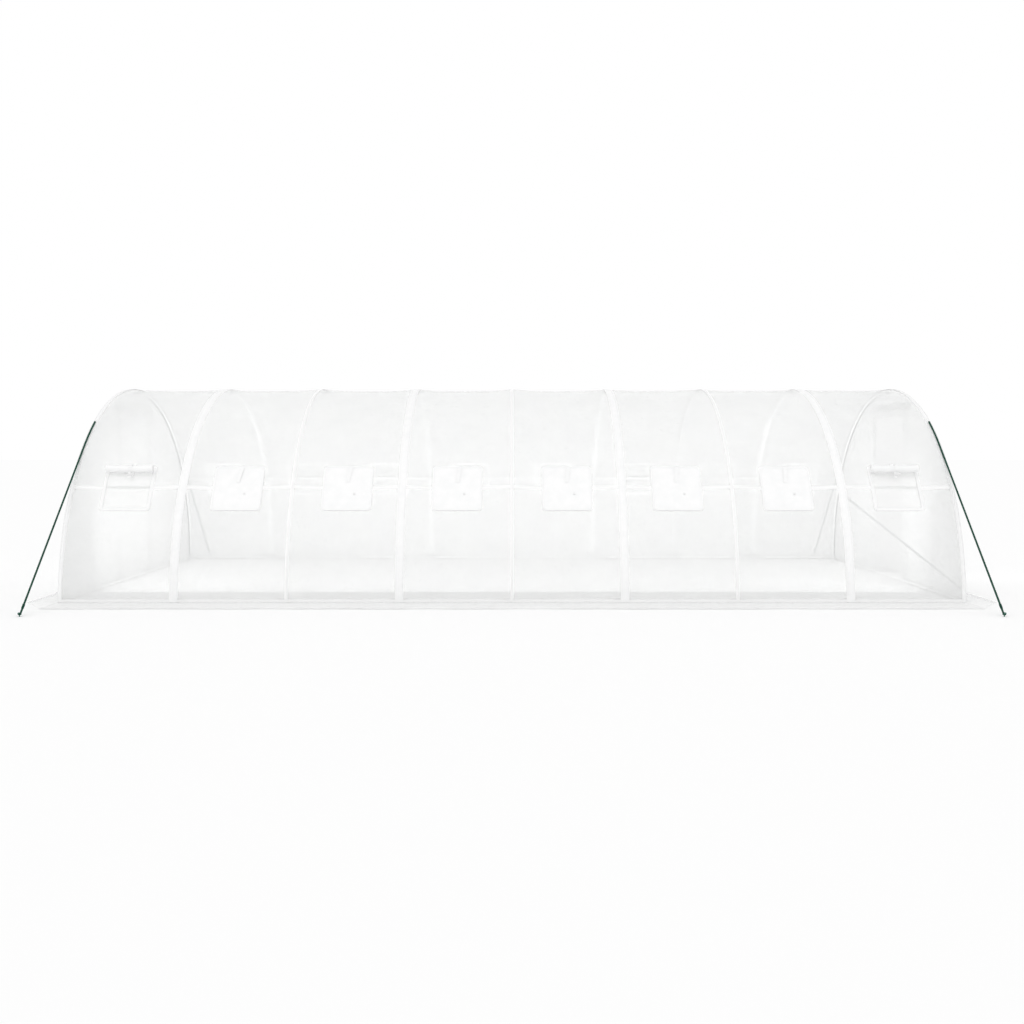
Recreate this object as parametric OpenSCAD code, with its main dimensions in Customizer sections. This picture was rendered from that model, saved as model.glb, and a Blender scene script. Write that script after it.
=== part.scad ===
// Polytunnel greenhouse: nine round hoops on ground rails under a film cover with net windows,
// two end walls with roll-up doors, ground flaps and four guy ropes.
// The length runs along X, the front faces -Y, and the ground is at Z = 0.

/* [Tunnel] */
// Length between the two end hoops
tunnel_length = 8000; // [4000:500:16000]
// Number of bays between the hoops, an even number
bay_count = 8; // [4:2:12]
// Outside radius of the cover, which is its height and half its width
cover_radius = 2000; // [1800:50:2600]

/* [Frame] */
// Diameter of the hoop tubes
hoop_tube_d = 25; // [19:1:38]
// Diameter of the ridge pole, side rails, ground rails and sills
rail_tube_d = 25; // [16:1:32]
// Diameter of the diagonal braces
brace_tube_d = 19; // [12:1:28]
// Height of the side rails above the ground
side_rail_height = 1010; // [700:10:1400]
// Wall of the clamps and foot sockets around a tube
socket_wall = 3; // [2:0.5:5]
// Wall of the foot shoes around a ground rail
shoe_wall = 4; // [3.5:0.5:8]
// Length of a clamp along the hoop
clamp_length = 44; // [36:1:80]
// Reach of a foot socket along each tube from the corner
foot_arm = 75; // [55:1:120]
// Height at which a brace starts on the end hoop
brace_foot_height = 115; // [100:5:300]
// Height at which a brace ends on the next hoop
brace_top_height = 960; // [500:10:1200]

/* [Cover] */
// Thickness of the film of the cover, the end walls and the ground flaps
film_thickness = 3; // [2:0.5:6]
// Width of the seam bands over every second hoop
seam_width = 76; // [40:1:140]
// Thickness of the seam bands, window borders and door tapes
band_thickness = 2; // [1:0.5:4]
// Width of the ground flaps along the two sides
side_flap_width = 400; // [150:10:600]
// Width of the ground flaps along the two ends
end_flap_width = 280; // [150:10:500]

/* [Windows] */
// Clear width of a window opening
window_width = 400; // [200:10:600]
// Clear height of a window opening, measured along the curve
window_height = 410; // [200:10:500]
// Height of the middle of a window above the ground
window_mid_height = 1020; // [700:10:1300]
// Width of the sewn border around a window
window_border = 28; // [15:1:50]
// Overlap of the insect net behind the film
net_overlap = 20; // [10:1:40]
// Thickness of the insect net
net_thickness = 2; // [1:0.5:3]
// Overlap of a closed window flap over the border around its opening
flap_overlap = 24; // [10:1:40]
// Diameter of a rolled-up window flap
window_roll_d = 72; // [25:1:80]

/* [Doors] */
// Clear width of a doorway
door_width = 850; // [600:10:1000]
// Clear height of a doorway
door_height = 1700; // [1400:10:1700]
// Width of the zip tapes around a doorway
door_tape_width = 150; // [60:5:180]
// Diameter of the rolled-up door
door_roll_d = 90; // [50:2:100]

/* [Guy ropes] */
// Diameter of the guy ropes
rope_d = 18; // [6:1:24]
// Angle up the cover at which a guy rope starts, over an end hoop
rope_angle = 54; // [52:1:65]
// Distance of a peg from the foot of the cover
peg_distance = 800; // [500:5:1000]
// Diameter of a peg
peg_d = 10; // [6:1:16]
// Height of a peg above the ground
peg_height = 36; // [30:1:100]
// Reach of the hook at the top of a peg
peg_hook = 30; // [20:1:60]

/* [Hidden] */
$fn = 128;
// Gap between pieces that rest on each other
clearance = 0.3;
// Gap around a tube in its socket
socket_fit = 0.2;
// Overshoot of a cut beyond the faces that it passes
overcut = 2;

hoop_count = bay_count + 1;
panel_count = bay_count / 2 + 1;
bay_length = tunnel_length / bay_count;
end_x = tunnel_length / 2;

hoop_socket_d = hoop_tube_d + 2 * socket_wall;
rail_socket_d = rail_tube_d + 2 * socket_wall;
rail_bore = rail_tube_d + 2 * socket_fit;
shoe_width = max(rail_tube_d + 2 * shoe_wall, hoop_socket_d + 2 * clearance);
film_inner = cover_radius - film_thickness;
hoop_radius = film_inner - clearance - shoe_width / 2;
purlin_radius = hoop_radius - hoop_tube_d / 2 - rail_tube_d / 2 - clearance;
brace_radius = hoop_radius - hoop_tube_d / 2 - brace_tube_d / 2 - clearance;

wall_inner = end_x + shoe_width / 2 + clearance;
wall_outer = wall_inner + film_thickness;
tape_inner = wall_outer + clearance;
tape_outer = tape_inner + band_thickness;

ground_rail_z = shoe_width / 2;
hoop_foot_z = ground_rail_z + rail_tube_d / 2 + clearance;
side_rail_angle = asin(side_rail_height / purlin_radius);

degrees_per_mm = 180 / PI / cover_radius;
window_angle = asin(window_mid_height / cover_radius);
window_half_angle = window_height / 2 * degrees_per_mm;
border_inner = cover_radius + clearance;
border_outer = border_inner + band_thickness;
flap_inner = border_outer + clearance;

rope_x = end_x;
rope_radius = cover_radius + clearance + rope_d / 2;
peg_y = cover_radius + peg_distance;
rope_end_z = peg_height / 2;

front = -1;
rear = 1;

function hoop_x(i) = (i - 1) * bay_length - end_x;
function window_x(i) = (i - 0.5) * bay_length - end_x;
// The windows of the two end bays are open
function window_open(i) = i == 1 || i == bay_count;
// Angles run from the rear foot over the ridge to the front foot
function turn_from(side, angle) = side == front ? 180 - angle : angle;
function hoop_angle(height) = asin(height / hoop_radius);
function panel_start(i) = i == 1 ? -wall_inner : hoop_x(2 * i - 2);
function panel_end(i) = i == panel_count ? wall_inner : hoop_x(2 * i);
function roof_point(x, side, radius, height) = [x, side * sqrt(radius ^ 2 - height ^ 2), height];
function hoop_point(x, side, height) = roof_point(x, side, hoop_radius, height);
function brace_point(x, side, height) = roof_point(x, side, brace_radius, height);
// A straight bore around the curved hoop is wider by the bow of the hoop over its length
function hoop_bore(length) = hoop_tube_d + 2 * (socket_fit + length ^ 2 / 8 / hoop_radius);
// Angle at which a taut rope from y and z touches the cover
function leave_angle(y, z) = atan2(z, y) + acos(rope_radius / norm([y, z]));
function names(stem, count) = [for (i = [1 : count]) str(stem, i)];

// Stands a flat drawing up across the tunnel at x, so that its height runs along the length
module across(x) {
    translate([x, 0, 0]) rotate([90, 0, 90]) children();
}

// Round bar around the axis of the tunnel, between two angles, such as a hoop
module hoop_tube(x, d, from, to, radius = hoop_radius) {
    across(x) rotate_extrude(angle = to - from, start = from) translate([radius, 0]) circle(d = d);
}

// Strip of the round roof between two radii, two angles and two places along the length
module roof_strip(r_in, r_out, from, to, x_from, x_to) {
    across(x_from) rotate_extrude(angle = to - from, start = from)
        translate([r_in, 0]) square([r_out - r_in, x_to - x_from]);
}

// Strip of the roof around the middle of window i, larger than its opening by a margin all round
module window_strip(i, side, r_in, r_out, margin) {
    middle = turn_from(side, window_angle);
    half_angle = window_half_angle + margin * degrees_per_mm;
    half_width = window_width / 2 + margin;
    roof_strip(
        r_in, r_out, middle - half_angle, middle + half_angle,
        window_x(i) - half_width, window_x(i) + half_width
    );
}

// Round bar between two points
module bar(start, end, d) {
    run = end - start;
    translate(start)
        rotate([0, acos(run.z / norm(run)), atan2(run.y, run.x)])
            cylinder(d = d, h = norm(run));
}

// Box between two opposite corners
module block(a, b) {
    translate([min(a.x, b.x), min(a.y, b.y), min(a.z, b.z)])
        cube([abs(b.x - a.x), abs(b.y - a.y), abs(b.z - a.z)]);
}

// Mirrors what is made at the right end to the left end
module at_left() {
    mirror([1, 0, 0]) children();
}

module hoop(i) {
    foot_angle = hoop_angle(hoop_foot_z);
    color("gainsboro") hoop_tube(hoop_x(i), hoop_tube_d, foot_angle, 180 - foot_angle);
}

// Rail clamped under the hoops at an angle of the roof, from end clamp to end clamp
module purlin(angle) {
    reach = end_x + hoop_socket_d / 2;
    color("gainsboro")
        across(-reach) rotate(angle) translate([purlin_radius, 0, 0])
            cylinder(d = rail_tube_d, h = 2 * reach);
}

module ground_rail(side) {
    reach = end_x - rail_tube_d / 2 - clearance;
    y = side * hoop_radius;
    color("gainsboro") bar([-reach, y, ground_rail_z], [reach, y, ground_rail_z], rail_tube_d);
}

module sill(x) {
    reach = hoop_radius + rail_tube_d / 2;
    color("gainsboro") bar([x, -reach, ground_rail_z], [x, reach, ground_rail_z], rail_tube_d);
}

// Diagonal from the foot of an end hoop up to the next hoop
module brace(x_foot, x_top, side) {
    color("gainsboro")
        bar(
            brace_point(x_foot, side, brace_foot_height),
            brace_point(x_top, side, brace_top_height),
            brace_tube_d
        );
}

// Block that holds a rail under one hoop, bored for both tubes
module clamp(x, angle) {
    clamp_inner = purlin_radius - rail_socket_d / 2;
    clamp_outer = hoop_radius + hoop_socket_d / 2;
    across(x) rotate(angle)
        difference() {
            block([clamp_inner, -clamp_length / 2, -hoop_socket_d / 2],
                [clamp_outer, clamp_length / 2, hoop_socket_d / 2]);
            translate([hoop_radius, 0, 0]) rotate([90, 0, 0])
                cylinder(d = hoop_bore(clamp_length), h = clamp_length + 2 * overcut, center = true);
            translate([purlin_radius, 0, 0])
                cylinder(d = rail_bore, h = hoop_socket_d + 2 * overcut, center = true);
        }
}

module rail_clamps() {
    color("silver")
        for (i = [1 : hoop_count])
            for (angle = [side_rail_angle, 90, 180 - side_rail_angle])
                clamp(hoop_x(i), angle);
}

// Foot of hoop i: a shoe on the ground rail, and on the sill too at a corner, with a socket for the hoop
module foot(i, side) {
    x = hoop_x(i);
    y = side * hoop_radius;
    half = shoe_width / 2;
    first = i == 1;
    last = i == hoop_count;
    corner = first || last;
    x_low = x - (first ? half : foot_arm);
    x_high = x + (last ? half : foot_arm);
    y_outer = y + side * half;
    y_inner = y - side * foot_arm;
    rail_stop = rail_tube_d / 2 + clearance;
    bore_low = first ? x - rail_stop : x_low - overcut;
    bore_high = last ? x + rail_stop : x_high + overcut;
    difference() {
        union() {
            block([x_low, y - half, 0], [x_high, y + half, shoe_width]);
            if (corner) block([x - half, y_outer, 0], [x + half, y_inner, shoe_width]);
            bar(hoop_point(x, side, ground_rail_z), hoop_point(x, side, foot_arm), hoop_socket_d);
        }
        bar(hoop_point(x, side, hoop_foot_z - clearance), hoop_point(x, side, foot_arm + overcut),
            hoop_bore(foot_arm));
        bar([bore_low, y, ground_rail_z], [bore_high, y, ground_rail_z], rail_bore);
        if (corner)
            bar([x, y + side * rail_stop, ground_rail_z], [x, y_inner - side * overcut, ground_rail_z],
                rail_bore);
    }
}

module hoop_feet() {
    color("silver")
        for (i = [1 : hoop_count])
            for (side = [front, rear])
                foot(i, side);
}

// Width of cover between two seams, over the whole arch, with its windows cut through
module cover_panel(i) {
    color([0.93, 0.94, 0.94])
        difference() {
            roof_strip(film_inner, cover_radius, 0, 180, panel_start(i), panel_end(i));
            for (w = [1 : bay_count])
                if (window_x(w) > panel_start(i) && window_x(w) < panel_end(i))
                    for (side = [front, rear])
                        window_strip(w, side, film_inner - overcut, cover_radius + overcut, 0);
        }
}

module seam_bands() {
    color("white")
        for (i = [2 : 2 : hoop_count - 1])
            roof_strip(
                border_inner, border_outer, 0, 180,
                hoop_x(i) - seam_width / 2, hoop_x(i) + seam_width / 2
            );
}

module window_nets() {
    net_outer = film_inner - clearance;
    color("white")
        for (i = [1 : bay_count])
            for (side = [front, rear])
                window_strip(i, side, net_outer - net_thickness, net_outer, net_overlap);
}

module window_borders() {
    color("white")
        for (i = [1 : bay_count])
            for (side = [front, rear])
                difference() {
                    window_strip(i, side, border_inner, border_outer, window_border);
                    window_strip(i, side, border_inner - overcut, border_outer + overcut, 0);
                }
}

// Flaps let down over the closed windows
module window_flaps() {
    color("white")
        for (i = [1 : bay_count])
            if (!window_open(i))
                for (side = [front, rear])
                    window_strip(i, side, flap_inner, flap_inner + band_thickness, flap_overlap);
}

// Flaps of the open windows, rolled up under the top border, with their ends on the side borders
module window_rolls() {
    roll_angle = window_angle + window_half_angle - window_roll_d / 2 * degrees_per_mm;
    roll_length = window_width + flap_overlap;
    color("whitesmoke")
        for (i = [1 : bay_count])
            if (window_open(i))
                for (side = [front, rear])
                    across(window_x(i)) rotate(turn_from(side, roll_angle))
                        translate([flap_inner + window_roll_d / 2, 0, 0])
                            cylinder(d = window_roll_d, h = roll_length, center = true);
}

// End wall beside the doorway, on one side
module wall_side(side) {
    width = cover_radius - door_width / 2;
    color([0.93, 0.94, 0.94])
        across(wall_inner) linear_extrude(film_thickness)
            intersection() {
                circle(r = cover_radius, $fn = 720);
                translate([side == front ? -cover_radius : door_width / 2, 0]) square([width, cover_radius]);
            }
}

// End wall over the doorway
module wall_top() {
    color([0.93, 0.94, 0.94])
        across(wall_inner) linear_extrude(film_thickness)
            intersection() {
                circle(r = cover_radius, $fn = 720);
                translate([-door_width / 2, door_height]) square([door_width, cover_radius - door_height]);
            }
}

// Closed door that fills the doorway in the plane of the wall
module closed_door() {
    color("whitesmoke")
        across(wall_inner) linear_extrude(film_thickness)
            translate([clearance - door_width / 2, 0])
                square([door_width - 2 * clearance, door_height - clearance]);
}

// Zip tape down both sides of a doorway and over it
module door_tape() {
    lift = film_thickness + clearance;
    color("white")
        across(tape_inner) linear_extrude(band_thickness)
            difference() {
                translate([-door_width / 2 - door_tape_width, lift])
                    square([door_width + 2 * door_tape_width, door_height + door_tape_width - lift]);
                translate([-door_width / 2, 0]) square([door_width, door_height]);
            }
}

module door_tapes() {
    door_tape();
    at_left() door_tape();
}

// Open door, rolled up over the doorway
module door_roll() {
    roll_z = door_height + door_tape_width - clearance - door_roll_d / 2;
    color("whitesmoke")
        translate([tape_outer + clearance + door_roll_d / 2, 0, roll_z]) rotate([90, 0, 0])
            cylinder(d = door_roll_d, h = door_width, center = true);
}

module side_flap(side) {
    color([0.9, 0.91, 0.91])
        translate([-wall_outer, side == front ? -cover_radius - side_flap_width : cover_radius, 0])
            cube([2 * wall_outer, side_flap_width, film_thickness]);
}

// Ground flap of an end wall, with its two slanted corners
module end_flap() {
    corner_y = cover_radius + side_flap_width;
    color([0.9, 0.91, 0.91])
        linear_extrude(film_thickness)
            polygon([
                [wall_outer, -corner_y],
                [wall_outer + end_flap_width, -cover_radius],
                [wall_outer + end_flap_width, cover_radius],
                [wall_outer, corner_y]
            ]);
}

// Ground flap of the end with the open door, which stops at the doorway
module open_end_flap() {
    difference() {
        end_flap();
        translate([wall_outer - overcut, -door_width / 2, -overcut])
            cube([end_flap_width + 2 * overcut, door_width, film_thickness + 2 * overcut]);
    }
}

// Taut rope that lies on the cover over an end hoop, then runs straight to its peg, in two lengths that meet
module guy_rope(x, side) {
    peg_face = peg_y - peg_d / 2;
    // The square-cut end of the slanting rope reaches beyond its middle line
    end_reach = rope_d / 2 * cos(leave_angle(peg_face, rope_end_z));
    end_y = peg_face - clearance - end_reach;
    leave = leave_angle(end_y, rope_end_z);
    meet = leave + clearance * degrees_per_mm;
    start = min(turn_from(side, meet), turn_from(side, rope_angle));
    color([0.2, 0.36, 0.3]) {
        hoop_tube(x, rope_d, start, start + rope_angle - meet, rope_radius);
        bar(
            [x, side * rope_radius * cos(leave), rope_radius * sin(leave)],
            [x, side * end_y, rope_end_z],
            rope_d
        );
    }
}

// Ground peg with a hook that points away from the tunnel
module peg(x, side) {
    hook_z = peg_height - peg_d / 2;
    color("darkseagreen") {
        bar([x, side * peg_y, 0], [x, side * peg_y, peg_height], peg_d);
        bar([x, side * peg_y, hook_z], [x, side * (peg_y + peg_hook), hook_z], peg_d);
    }
}

module guy_ropes() {
    for (x = [-rope_x, rope_x])
        for (side = [front, rear])
            guy_rope(x, side);
}

module pegs() {
    for (x = [-rope_x, rope_x])
        for (side = [front, rear])
            peg(x, side);
}

for (i = [1 : hoop_count])
    hoop(i);
purlin(90);  // ridge_pole
purlin(turn_from(front, side_rail_angle));  // front_side_rail
purlin(turn_from(rear, side_rail_angle));  // rear_side_rail
ground_rail(front);  // front_ground_rail
ground_rail(rear);  // rear_ground_rail
sill(-end_x);  // left_sill
sill(end_x);  // right_sill
brace(end_x, end_x - bay_length, front);  // front_brace
brace(-end_x, bay_length - end_x, rear);  // rear_brace
rail_clamps();
hoop_feet();
for (i = [1 : panel_count])
    cover_panel(i);
seam_bands();
window_nets();
window_borders();
window_flaps();
window_rolls();
at_left() wall_side(front);  // left_wall_front
at_left() wall_side(rear);  // left_wall_rear
at_left() wall_top();  // left_wall_top
at_left() closed_door();  // left_door
wall_side(front);  // right_wall_front
wall_side(rear);  // right_wall_rear
wall_top();  // right_wall_top
door_roll();  // right_door_roll
door_tapes();
side_flap(front);  // front_flap
side_flap(rear);  // rear_flap
at_left() end_flap();  // left_flap
open_end_flap();  // right_flap
guy_ropes();
pegs();
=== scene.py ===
import math
import bmesh
import bpy
from mathutils import Matrix, Vector, noise


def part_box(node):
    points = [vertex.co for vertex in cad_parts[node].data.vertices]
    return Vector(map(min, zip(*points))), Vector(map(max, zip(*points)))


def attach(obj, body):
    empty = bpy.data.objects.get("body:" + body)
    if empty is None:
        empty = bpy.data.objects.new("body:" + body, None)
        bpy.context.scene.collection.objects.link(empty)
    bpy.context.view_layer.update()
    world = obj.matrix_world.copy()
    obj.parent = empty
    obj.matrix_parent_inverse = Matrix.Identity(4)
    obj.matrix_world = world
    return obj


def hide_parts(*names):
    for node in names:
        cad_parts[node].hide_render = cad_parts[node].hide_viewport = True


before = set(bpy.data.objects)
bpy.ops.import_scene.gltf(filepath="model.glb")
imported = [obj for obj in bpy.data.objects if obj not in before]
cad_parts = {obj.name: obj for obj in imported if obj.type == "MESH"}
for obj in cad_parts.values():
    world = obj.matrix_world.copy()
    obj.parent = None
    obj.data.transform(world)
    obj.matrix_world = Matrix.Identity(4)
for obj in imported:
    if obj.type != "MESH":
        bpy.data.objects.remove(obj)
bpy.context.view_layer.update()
scene = bpy.context.scene


# places read from the frame, in metres

def middleOf(node):
    low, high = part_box(node)
    return (low + high) / 2


hoopCount = 9
hoopXs = [middleOf(f"hoop_{i}").x for i in range(1, hoopCount + 1)]
bay = hoopXs[1] - hoopXs[0]
windowXs = [x + bay / 2 for x in hoopXs[:-1]]
hoopLow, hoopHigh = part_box("hoop_5")
tubeRadius = (hoopHigh.x - hoopLow.x) / 2
hoopRadius = hoopHigh.z - tubeRadius
hoopFootZ = hoopLow.z
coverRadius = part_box("cover_panel_3")[1].z
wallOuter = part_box("right_wall_top")[1].x
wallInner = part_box("right_wall_top")[0].x
sideRail = middleOf("front_side_rail")
purlinRadius = middleOf("ridge_pole").z
sideRailAngle = math.atan2(sideRail.z, -sideRail.y)
ridgeAngle = math.pi / 2


# material helpers

def addNode(tree, kind, values=None, **settings):
    node = tree.nodes.new("ShaderNode" + kind)
    for name, value in settings.items():
        setattr(node, name, value)
    for socket, value in (values or {}).items():
        node.inputs[socket].default_value = value
    return node


def startMaterial(name):
    material = bpy.data.materials.new(name)
    material.use_nodes = True
    tree = material.node_tree
    return material, tree, tree.nodes["Principled BSDF"]


def addMath(tree, operation, first, second):
    node = addNode(tree, "Math", operation=operation)
    for socket, value in enumerate((first, second)):
        if isinstance(value, bpy.types.NodeSocket):
            tree.links.new(value, node.inputs[socket])
        else:
            node.inputs[socket].default_value = value
    return node.outputs[0]


def addRamp(tree, source, first, last):
    ramp = addNode(tree, "ValToRGB")
    for element, (position, colour) in zip(ramp.color_ramp.elements, (first, last)):
        element.position = position
        element.color = (*colour, 1.0)
    tree.links.new(source, ramp.inputs["Fac"])
    return ramp.outputs["Color"]


def addRange(tree, source, fromLow, fromHigh, toLow, toHigh, smooth=False):
    node = addNode(tree, "MapRange", {"From Min": fromLow, "From Max": fromHigh,
                                      "To Min": toLow, "To Max": toHigh})
    if smooth:
        node.interpolation_type = "SMOOTHSTEP"
    tree.links.new(source, node.inputs["Value"])
    return node.outputs["Result"]


def addNoise(tree, vector, scale, detail=3.0, roughness=0.5):
    node = addNode(tree, "TexNoise", {"Scale": scale, "Detail": detail, "Roughness": roughness})
    tree.links.new(vector, node.inputs["Vector"])
    return node.outputs["Fac"]


def addBump(tree, shader, height, strength, distance):
    bump = addNode(tree, "Bump", {"Strength": strength, "Distance": distance})
    tree.links.new(height, bump.inputs["Height"])
    tree.links.new(bump.outputs["Normal"], shader.inputs["Normal"])


# a flat colour laid over another by a factor
def addMix(tree, factor, under, over):
    mix = addNode(tree, "Mix", data_type="RGBA")
    mix.inputs["B"].default_value = (*over, 1.0)
    tree.links.new(factor, mix.inputs["Factor"])
    tree.links.new(under, mix.inputs["A"])
    return mix.outputs["Result"]


# a stripe of the given width around every multiple of pitch, 1 on the stripe and 0 between
def addStripes(tree, value, pitch, width, offset=0.0):
    shifted = addMath(tree, "SUBTRACT", value, offset)
    away = addMath(tree, "PINGPONG", addMath(tree, "ADD", shifted, pitch * 64), pitch / 2)
    return addRange(tree, away, width * 0.35, width * 0.65, 1.0, 0.0, smooth=True)


# one stripe at a place
def addLine(tree, value, place, width):
    away = addMath(tree, "ABSOLUTE", addMath(tree, "SUBTRACT", value, place), 0.0)
    return addRange(tree, away, width * 0.44, width * 0.56, 1.0, 0.0, smooth=True)


# threads both ways of a weave
def addThreads(tree, across, along, look):
    return addMath(tree, "MAXIMUM", addStripes(tree, across, look["pitch"], look["thread"]),
                   addStripes(tree, along, look["pitch"], look["thread"]))


def surfaceMetres(tree):
    uv = addNode(tree, "UVMap", uv_map="metres")
    split = addNode(tree, "SeparateXYZ")
    tree.links.new(uv.outputs["UV"], split.inputs["Vector"])
    return split.outputs["X"], split.outputs["Y"]


def objectPlace(tree):
    return addNode(tree, "TexCoord").outputs["Object"]


# the shader's colour, and a roughness that follows a cloud
def setFinish(tree, shader, colour, cloud, smooth, rough):
    tree.links.new(colour, shader.inputs["Base Color"])
    tree.links.new(addRange(tree, cloud, 0.3, 0.7, smooth, rough), shader.inputs["Roughness"])


# materials

# strip, railStrip, groundStrip, stripAlpha and overRail size and place painted highlight bands that stand in
# for the bright tubes behind the film
filmLook = {
    "milky": ((0.84, 0.845, 0.845), (0.865, 0.87, 0.865)), "grey": ((0.72, 0.725, 0.72), (0.80, 0.805, 0.80)),
    "inside": ((0.50, 0.505, 0.505), (0.56, 0.565, 0.56)), "weld": (0.95, 0.95, 0.95), "lining": 0.08,
    "pitch": 0.009, "thread": 0.0011, "strip": 0.032, "railStrip": 0.034, "groundStrip": 0.031,
    "stripAlpha": 0.94, "overRail": 0.009,
}


# woven film, milky by the alpha between its threads and on them
def makeFilm(name, tones, between, onThread, withStrips=False):
    material, tree, shader = startMaterial(name)
    across, along = surfaceMetres(tree)
    place = objectPlace(tree)
    threads = addThreads(tree, across, along, filmLook)
    cloud = addNoise(tree, place, 2.6, 5.0, 0.6)
    speckle = addNoise(tree, place, 34.0, 3.0, 0.6)
    folds = addNoise(tree, place, 9.0, 4.0, 0.55)
    haze = addMath(tree, "ADD", cloud, addMath(tree, "MULTIPLY", speckle, 0.4))
    thin = addMath(tree, "ADD", addRange(tree, haze, 0.5, 0.9, -0.012, 0.018), between)
    alpha = addMath(tree, "ADD", thin, addMath(tree, "MULTIPLY", threads, onThread - between))
    colour = addRamp(tree, cloud, (0.3, tones[0]), (0.7, tones[1]))
    if withStrips:  # painted highlight: near-white, nearly opaque bands where the hoops, the ridge, the side rails and the ground rails lie behind the film, standing in for the tubes showing bright through it
        strips = addStripes(tree, across, bay, filmLook["strip"], hoopXs[0])
        level = math.asin((sideRail.z + filmLook["overRail"]) / coverRadius)
        foot = filmLook["groundStrip"] / 2
        arcs = [(coverRadius * angle, "railStrip") for angle in (level, ridgeAngle, math.pi - level)]
        arcs += [(arc, "groundStrip") for arc in (foot, math.pi * coverRadius - foot)]
        for arc, width in arcs:
            strips = addMath(tree, "MAXIMUM", strips, addLine(tree, along, arc, filmLook[width]))
        alpha = addMath(tree, "MAXIMUM", alpha, addMath(tree, "MULTIPLY", strips, filmLook["stripAlpha"]))
        # painted highlight: the bands take a near-white colour in place of the lit tubes seen through the
        # film
        colour = addMix(tree, strips, colour, filmLook["weld"])
    tree.links.new(alpha, shader.inputs["Alpha"])
    setFinish(tree, shader, colour, speckle, 0.26, 0.42)
    addBump(tree, shader, addMath(tree, "ADD", addMath(tree, "MULTIPLY", threads, 0.3), folds), 0.35, 0.002)
    return material


tapeLook = {"white": (0.945, 0.945, 0.945), "shade": (0.91, 0.915, 0.915), "seam": (0.74, 0.745, 0.74),
            "rib": 0.0022, "stitch": 0.006, "thread": 0.0014}


# sewn tape: ribs across its run, and rows of stitches at the given distances from its first edge
def makeTape(name, stitchRows, alpha=1.0):
    material, tree, shader = startMaterial(name)
    across, along = surfaceMetres(tree)
    ribs = addStripes(tree, along, tapeLook["rib"], tapeLook["rib"] * 0.5)
    cloud = addNoise(tree, objectPlace(tree), 14.0, 4.0)
    rows = addLine(tree, across, stitchRows[0], tapeLook["thread"])
    for row in stitchRows[1:]:
        rows = addMath(tree, "MAXIMUM", rows, addLine(tree, across, row, tapeLook["thread"]))
    dashes = addStripes(tree, along, tapeLook["stitch"], tapeLook["stitch"] * 0.62)
    stitches = addMath(tree, "MULTIPLY", rows, dashes)
    colour = addRamp(tree, cloud, (0.3, tapeLook["shade"]), (0.6, tapeLook["white"]))
    colour = addMix(tree, addMath(tree, "MULTIPLY", stitches, 0.8), colour, tapeLook["seam"])
    shader.inputs["Alpha"].default_value = alpha
    setFinish(tree, shader, colour, cloud, 0.42, 0.6)
    height = addMath(tree, "SUBTRACT", addMath(tree, "MULTIPLY", ribs, 0.35), stitches)
    addBump(tree, shader, height, 0.4, 0.0008)
    return material


clothLook = {"white": (0.94, 0.94, 0.94), "shade": (0.90, 0.905, 0.905), "pitch": 0.004, "thread": 0.0009}


# close white cloth-backed film of the flaps and rolls
def makeFlapCloth(name):
    material, tree, shader = startMaterial(name)
    threads = addThreads(tree, *surfaceMetres(tree), clothLook)
    cloud = addNoise(tree, objectPlace(tree), 11.0, 4.0, 0.55)
    colour = addRamp(tree, cloud, (0.32, clothLook["shade"]), (0.62, clothLook["white"]))
    setFinish(tree, shader, colour, cloud, 0.34, 0.5)
    addBump(tree, shader, addMath(tree, "ADD", addMath(tree, "MULTIPLY", threads, 0.2), cloud), 0.3, 0.0015)
    return material


netLook = {"white": (0.915, 0.92, 0.915), "grey": (0.885, 0.89, 0.885), "pitch": 0.0024, "thread": 0.0007,
           "hole": 0.55, "cord": 0.92, "back": 0.02}


def makeNet():
    material, tree, shader = startMaterial("insectNet")
    threads = addThreads(tree, *surfaceMetres(tree), netLook)
    cloud = addNoise(tree, objectPlace(tree), 18.0, 3.0)
    alpha = addRange(tree, threads, 0.0, 1.0, netLook["hole"], netLook["cord"])
    tree.links.new(alpha, shader.inputs["Alpha"])
    colour = addRamp(tree, cloud, (0.3, netLook["grey"]), (0.7, netLook["white"]))
    setFinish(tree, shader, colour, cloud, 0.5, 0.7)
    addBump(tree, shader, threads, 0.4, 0.0006)
    return material


steelLook = {"coat": (0.945, 0.95, 0.95), "worn": (0.90, 0.905, 0.90), "dust": (0.86, 0.855, 0.84)}


# white coated steel, a little duller near the ground
def makeCoatedSteel():
    material, tree, shader = startMaterial("coatedSteel")
    place = objectPlace(tree)
    cloud = addNoise(tree, place, 7.0, 5.0, 0.6)
    split = addNode(tree, "SeparateXYZ")
    tree.links.new(place, split.inputs["Vector"])
    low = addRange(tree, split.outputs["Z"], 0.0, 0.35, 0.5, 0.0, smooth=True)
    colour = addRamp(tree, cloud, (0.3, steelLook["worn"]), (0.58, steelLook["coat"]))
    colour = addMix(tree, addMath(tree, "MULTIPLY", low, cloud), colour, steelLook["dust"])
    shader.inputs["Coat Weight"].default_value = 0.3
    shader.inputs["Coat Roughness"].default_value = 0.15
    setFinish(tree, shader, colour, cloud, 0.22, 0.38)
    addBump(tree, shader, addNoise(tree, place, 420.0, 2.0), 0.12, 0.0004)
    return material


def makePlain(name, tones, scale, roughness, metallic=0.0, grainScale=260.0, alpha=1.0):
    material, tree, shader = startMaterial(name)
    place = objectPlace(tree)
    cloud = addNoise(tree, place, scale, 5.0, 0.6)
    shader.inputs["Metallic"].default_value = metallic
    shader.inputs["Alpha"].default_value = alpha
    setFinish(tree, shader, addRamp(tree, cloud, (0.3, tones[0]), (0.66, tones[1])), cloud, *roughness)
    addBump(tree, shader, addNoise(tree, place, grainScale, 3.0), 0.2, 0.0005)
    return material


ropeLook = {"dark": (0.007, 0.046, 0.028), "light": (0.022, 0.088, 0.060)}


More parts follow.
